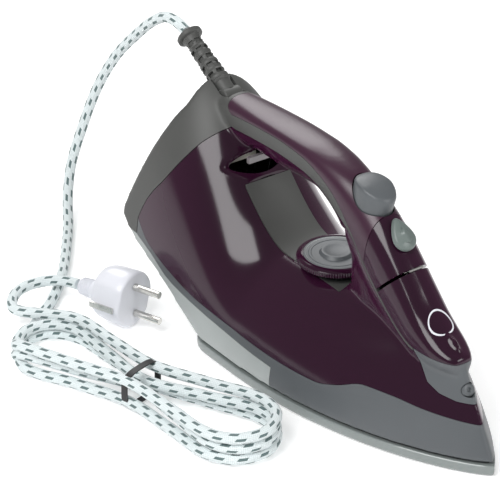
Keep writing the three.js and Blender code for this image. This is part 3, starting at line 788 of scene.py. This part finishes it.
def make_guard():
    """Cord guard: ball end, ribbed tapering sleeve with staggered slots, and its collar."""
    def ribs(angle, t, radius):
        return -0.5 if 13 < t < 46 and (t * 0.5) % 2 < 0.9 else 0.0

    profile = [(3, 5.4), (11, 5.6), (11.6, 6.4)] + [(12.5 + k * 0.75, 6.7 - 1.1 * k / 46) for k in range(47)]
    profile += [(48.6, 6.4), (49.0, 8.0), (49.4, 8.5), (51.6, 8.5), (52.2, 8.0), (52.3, 5)]
    guard = turned("cord_sleeve", SWIVEL, GUARD_AIM, profile, 48, lobes=ribs)
    turn = Vector((0, 0, 1)).rotation_difference(Vector(GUARD_AIM))
    for row in range(5):
        for k in range(6):
            angle = (k + 0.5 * (row % 2)) * math.pi / 3
            out = Vector((math.cos(angle), math.sin(angle), 0))
            across = Vector((-math.sin(angle), math.cos(angle), 0))
            low, high = 15.5 + row * 6.6, 18.7 + row * 6.6
            corners = []
            for r in (4.2, 9.0):
                corners.append([tuple(Vector(SWIVEL) + turn @ (out * r + across * s + Vector((0, 0, t))))
                                for s, t in ((-2.0, low), (2.0, low), (2.0, high), (-2.0, high))])
            combine(guard, ring_stack("slot", corners), "DIFFERENCE")
    x, _, z = SWIVEL
    ball = turned("ball", (x, -6.4, z), (0, 1, 0), [(0, 5.2), (0.6, 5.9), (12.2, 5.9), (12.8, 5.2)], 40)
    combine(guard, ball, "UNION")
    ease(guard, 35)
    return dress(guard, "dark_grey", "guard", "cord_guard")


def make_plug():
    """Round earthed plug: drum body with a rim, waisted grip and ribbed relief."""
    aim = (math.cos(PLUG_TURN), math.sin(PLUG_TURN), 0)
    body = turned("plug_shell", PLUG_AT, aim,
                  [(-12, 9.0), (-11.9, 13.0), (-11.0, 15.6), (-8, 17.2), (-2, 18.0), (6, 18.4), (10.6, 18.4),
                   (11.6, 17.8), (12.0, 16.8), (12.0, 6.0)], 72,
                  lobes=lambda a, t, r: -1.6 * max(0, abs(math.sin(a)) - 0.93) / 0.07 * (r / 18.4))
    dress(ease(body, 40), "white_plastic", "iron", "plug_body")
    stem = [(-12.5, 8.6), (-15, 7.2), (-17.5, 6.4), (-20, 6.2)]
    stem += [(-20.6 - k * 0.9, 5.9 - 0.09 * k + (0.5 if k % 2 else -0.2)) for k in range(11)]
    stem += [(-30.4, 4.4)]
    low = (PLUG_AT[0], PLUG_AT[1], PLUG_AT[2] - 3)
    grip = turned("plug_stem", low, aim, stem, 40)
    dress(ease(grip, 30), "white_plastic", "iron", "plug_grip")
    return [body, grip]


# ---- shells ------------------------------------------------------------------------------------
class IRON_OT_shells(bpy.types.Operator):
    """Cuts the tank, skirt, heel, handle frame, cover, console, flap and nose from one skin"""

    bl_idname = "iron.shells"
    bl_label = "Shells"

    def execute(self, context):
        skin = make_skin(context.scene.iron)
        core = make_core()
        shell = combine(twin(skin, "shell"), core, "DIFFERENCE", keep=True)

        def part(name, outline, slot, body, *nodes, tools=()):
            piece = combine(twin(shell, name), slab("region", outline, -90, 90), "INTERSECT")
            for tool in tools:
                combine(piece, tool, "DIFFERENCE")
            return dress(ease(piece), slot, body, *nodes)

        edge, rail = handle_edge, lambda x: handle_edge(x) - band_depth(x)
        part("skirt_shell", [(12.3, 8.8)] + sampled(trim_low, 12.3, -133.6, SEAM) + sampled(skirt_top,
                                        -133.6, 150)
             + [(160, 28), (160, 8.8)], "mid_grey", "iron", "lower_skirt")
        part("heel_shell", [(12, 0), (-180, 0), (-180, 47.9), (-134, 47.9)] + sampled(trim_low, -133.6,
                                        12), "pale_grey",
             "iron", "heel_base")

        screws = [turned("seat", (-160, y, 54), (0.92, 0, 0.39), [(0, 3.2), (34, 3.2)],
                         24) for y in (34, -34)]
        slot = slab("slot", [(-140, 133), (-140, 158), (-97.5, 158), (-97.5, 133)], -7.2, 7.2)
        frame_view = ([(-170, 48.3), (-134.3, 48.3)] + rear_seam + sampled(rail, -83, 95.5)
                      + sampled(edge, 95.5, -86, -SEAM) + [(-90, 140.2), (-93, 142.6), (-94.6, 146),
                                        (-94.8, 160), (-170, 160)])
        part("frame_shell", frame_view, "dark_grey", "iron", "handle_frame", "handle_band_left",
             "handle_band_right",
             tools=screws + [slot])

        scoop = turned("scoop", (DIAL_AT[0], 0, 70.8), (0, 0, 1), [(0, 26.0), (2, 27.0), (11, 28.0)], 72)
        deck_seat = slab("deck_seat", sampled(deck_line, -66.3, 29.4, -2.4) + [(29.4, 112),
                                        (-66.3, 112)], -17.4, 17.4)
        tank_view = (sampled(skirt_top, -133.4, 156, SEAM) + [(156, 38.7)]
                     + [(x, z) for x, z in reversed(nose_seam)]
                     + sampled(rail, 95.6, -83, -SEAM) + [(x + 0.4, z - 0.2) for x,
                                        z in reversed(rear_seam)])
        part("tank_shell", tank_view, "aubergine_gloss", "iron", "water_tank", tools=[deck_seat, scoop])

        well = turned("well", BUTTON_AT, (0.2, 0, 0.98), [(-40, 11.4), (25, 11.4)], 64, 1.36)
        cover_view = ([(-88, edge(-88))] + sampled(edge, -84, 49) + [(57, 190), (-94.4, 190),
                                        (-94.3, 146.5), (-92.6, 142.8),
                                                                  (-90, 140.6)])
        part("grip_cover", cover_view, "aubergine_soft", "iron", "handle_cover", tools=[well])

        def off(d, n):
            """A side-view point d down the slope and n above the flap's hinge."""
            return (FLAP_HINGE[0] + CONSOLE_DOWN[0] * d + CONSOLE_NORMAL[0] * n,
                    FLAP_HINGE[2] + CONSOLE_DOWN[2] * d + CONSOLE_NORMAL[2] * n)

        well = turned("well", BUTTON_AT, (0.2, 0, 0.98), [(-40, 11.4), (25, 11.4)], 64, 1.36)
        hole = turned("hole", LEVER_AT, CONSOLE_NORMAL, [(-9, 3.4), (9, 3.4)], 32)
        console_view = [(49.4, edge(49.4))] + sampled(edge, 50, 61.5) + [off(-1, -22.8), off(-1, 40),
                                        (57.4, 190)]
        part("console_shell", console_view, "aubergine_gloss", "iron", "console_panel", tools=[well, hole])
        flap_view = [off(1, 40), off(1, -22.4)] + sampled(edge, 63.4, 124) + [(140, 62), (140, 190)]
        part("flap_shell", flap_view, "aubergine_gloss", "flap", "filler_flap")

        bore = turned("bore", NOZZLE_AT, NOZZLE_AIM, [(-16, 4.6), (12, 4.6)], 40)
        nose_view = ([(x + 0.25, z + SEAM) for x, z in nose_seam] + [(150, 61.6), (124, 61.6)]
                     + sampled(edge, 124, 96.3, -SEAM))
        part("nose_shell", nose_view, "mid_grey", "iron", "nozzle_plate", tools=[bore])
        for used in (skin, core, shell):
            bpy.data.objects.remove(used)
        return {"FINISHED"}


# ---- controls ---------------------------------------------------------------------------------------
class IRON_OT_controls(bpy.types.Operator):
    """Makes the dial, spray button, steam lever, nozzle, deck and sole"""

    bl_idname = "iron.controls"
    bl_label = "Controls"

    def execute(self, context):
        self.make_dial()
        self.make_button()
        self.make_lever()
        self.make_sign()
        self.make_sole()
        nozzle = turned("nozzle_tip", NOZZLE_AT, NOZZLE_AIM, [(-8, 4.0), (0.4, 4.2), (1.2, 3.8), (1.5, 3.2),
                                                              (1.5, 1.6), (0.2, 0.9)], 40)
        dress(ease(nozzle, 35), "mid_grey", "iron", "spray_nozzle")
        deck = slab("deck_cover", sampled(deck_line, -66, 29) + sampled(deck_line, 29, -66, -2.1), -17, 17)
        hole = turned("hole", (DIAL_AT[0], 0, 60), (0, 0, 1), [(0, 5.2), (20, 5.2)], 32)
        dress(ease(combine(deck, hole, "DIFFERENCE"), 30), "dark_grey", "iron", "deck_plate")
        return {"FINISHED"}

    def make_dial(self):
        knurl = lambda a, t, r: 0.22 * math.cos(96 * a) if 1.2 < t < 4.6 and r > 20 else 0.0
        rim = [(0, 20.5), (0.2, 21.4), (1.2, 23.6), (1.6, 24.2), (2.6, 24.3), (4.4, 24.1), (5.2, 23.2),
               (5.8, 21.6),
               (6.0, 20.6)]
        top = [(5.7, 20.2), (5.9, 19.0), (5.6, 18.6), (5.6, 17.2), (5.9, 16.8), (5.9, 15.6),
               (5.6, 15.2), (5.6, 10.6),
               (6.6, 9.8), (7.4, 9.2), (7.6, 8.0), (7.2, 6.8), (7.0, 2.0)]
        dial = turned("dial_knob", DIAL_AT, (0, 0, 1), rim + top, 192, lobes=knurl)
        dress(ease(dial, 30), "mid_grey", "dial", "temperature_dial")
        dial.data.materials.append(MATERIALS["aubergine_gloss"])
        dial.data.materials.append(MATERIALS["pale_grey"])
        for poly in dial.data.polygons:
            reach = math.hypot(poly.center.x / MM - DIAL_AT[0], poly.center.y / MM)
            if reach > 20.3:
                poly.material_index = 1
            elif 18.5 < reach < 19.1 or 15.5 < reach < 15.9:
                poly.material_index = 2

    def make_button(self):
        crown = line((18, 139), (24, 142), (31, 143.6), (39, 143), (47, 140.2), (56, 135), (62, 130))
        rings = []
        levels = ((None, 1.0), (-2.6, 1.0), (-1.2, 0.985), (-0.4, 0.95), (-0.05, 0.88), (0.0, 0.7),
                  (0.1, 0.35))
        for drop, scale in levels:
            ring = []
            for k in range(72):
                a = 2 * math.pi * k / 72
                x = BUTTON_AT[0] + 14.6 * scale * math.cos(a)
                y = 10.8 * scale * math.sin(a)
                ring.append((x - 3.0, y, 125.2) if drop is None else (x, y, crown(x) + drop - 0.012 * y * y))
            rings.append(ring)
        dress(ease(ring_stack("button_cap", rings), 40), "mid_grey", "button", "spray_button")

    def make_sign(self):
        """A plain raised ring on the filler flap, draped over its curve."""
        def surface(x, y):
            lean = min(abs(y) / handle_half(x), 0.99) ** (1 / 0.9)
            low = handle_edge(x)
            return low + (handle_top(x) - low) * math.sqrt(1 - lean * lean) ** 0.75

        loops = []
        for reach, lift in ((8.4, -0.3), (8.3, 0.25), (7.5, 0.25), (7.4, -0.3)):
            turn = [2 * math.pi * k / 72 for k in range(72)]
            spots = [(102 + reach * 0.76 * math.cos(a), reach * math.sin(a)) for a in turn]
            loops.append([(x, y, surface(x, y) + lift) for x, y in spots])
        verts = [v for loop in loops for v in loop]
        faces = [(r * 72 + i, r * 72 + (i + 1) % 72, (r + 1) % 4 * 72 + (i + 1) % 72, (r + 1) % 4 * 72 + i)
                 for r in range(4) for i in range(72)]
        dress(ease(add_piece("filler_sign", verts, faces), 35), "white_plastic", "flap")

    def make_lever(self):
        up, down = Vector(CONSOLE_NORMAL), Vector(CONSOLE_DOWN)
        across = Vector((0, 1, 0))
        outline = []
        for k in range(48):
            a = 2 * math.pi * k / 48
            pinch = 1 - 0.42 * max(0, -math.cos(a)) ** 1.5
            outline.append((7.2 * math.cos(a) if math.cos(a) > 0 else 13.5 * math.cos(a),
                            7.3 * math.sin(a) * pinch))
        rings = []
        for height, scale in ((1.7, 1.0), (3.4, 1.0), (4.4, 0.95), (5.0, 0.84), (5.6, 0.45), (7.2, 0.16)):
            rings.append([tuple(Vector(LEVER_AT) + up * height + down * (u * (scale if height < 7 else 0.5))
                                + across * (v * scale)) for u, v in outline])
        dress(ease(ring_stack("lever_paddle", rings), 40), "lever_grey", "lever", "steam_lever")

    def make_sole(self):
        outline = plan_outline(REAR_SOLE_X, 0, 16, 110)
        sole = plate("sole_plate", outline,
                     [(0.0, 2.2), (0.5, 1.2), (1.6, 0.25), (3.0, 0.0), (5.6, 0.0), (6.6, 0.3),
                                             (7.0, 0.9)])
        for i in range(5):
            x = 118 - i * 26
            for side in (1, -1):
                combine(sole, turned("hole", (x, side * sole_half(x) * 0.62, -1), (0, 0, 1),
                                     [(0, 2.2), (10, 2.2)], 20),
                        "DIFFERENCE")
        combine(sole, turned("hole", (128, 0, -1), (0, 0, 1), [(0, 2.2), (10, 2.2)], 20), "DIFFERENCE")
        dress(ease(sole, 30), "coated_sole", "iron", "soleplate")


class IRON_OT_finishes(bpy.types.Operator):
    """Gives every remaining solid of the frame its own finish"""

    bl_idname = "iron.finishes"
    bl_label = "Finishes"

    def execute(self, context):
        for entry in frame["record"]["subparts"]:
            node = frame["nodes"][entry["node"]]
            slot = entry["material_slot"]
            if node.data.materials:
                for i in range(len(node.data.materials)):
                    node.data.materials[i] = MATERIALS[slot]
            else:
                node.data.materials.append(MATERIALS[slot])
        return {"FINISHED"}


class IRON_PT_panel(bpy.types.Panel):
    """Lists the pieces and their settings"""

    bl_label = "Steam iron"
    bl_idname = "IRON_PT_panel"
    bl_space_type = "VIEW_3D"
    bl_region_type = "UI"
    bl_category = "Iron"

    def draw(self, context):
        for step in STEPS:
            self.layout.operator(step.bl_idname)
        for name in IronSettings.__annotations__:
            self.layout.prop(context.scene.iron, name)


STEPS = (IRON_OT_stage, IRON_OT_cord, IRON_OT_shells, IRON_OT_controls, IRON_OT_finishes)


def register():
    for item in (IronSettings, *STEPS, IRON_PT_panel):
        bpy.utils.register_class(item)
    bpy.types.Scene.iron = bpy.props.PointerProperty(type=IronSettings)


def unregister():
    del bpy.types.Scene.iron
    for item in reversed((IronSettings, *STEPS, IRON_PT_panel)):
        bpy.utils.unregister_class(item)


def main():
    """Builds every piece in order."""
    register()
    paints(bpy.context.scene.iron)
    for step in STEPS:
        area, action = step.bl_idname.split(".")
        getattr(getattr(bpy.ops, area), action)()


if __name__ == "__main__":
    main()
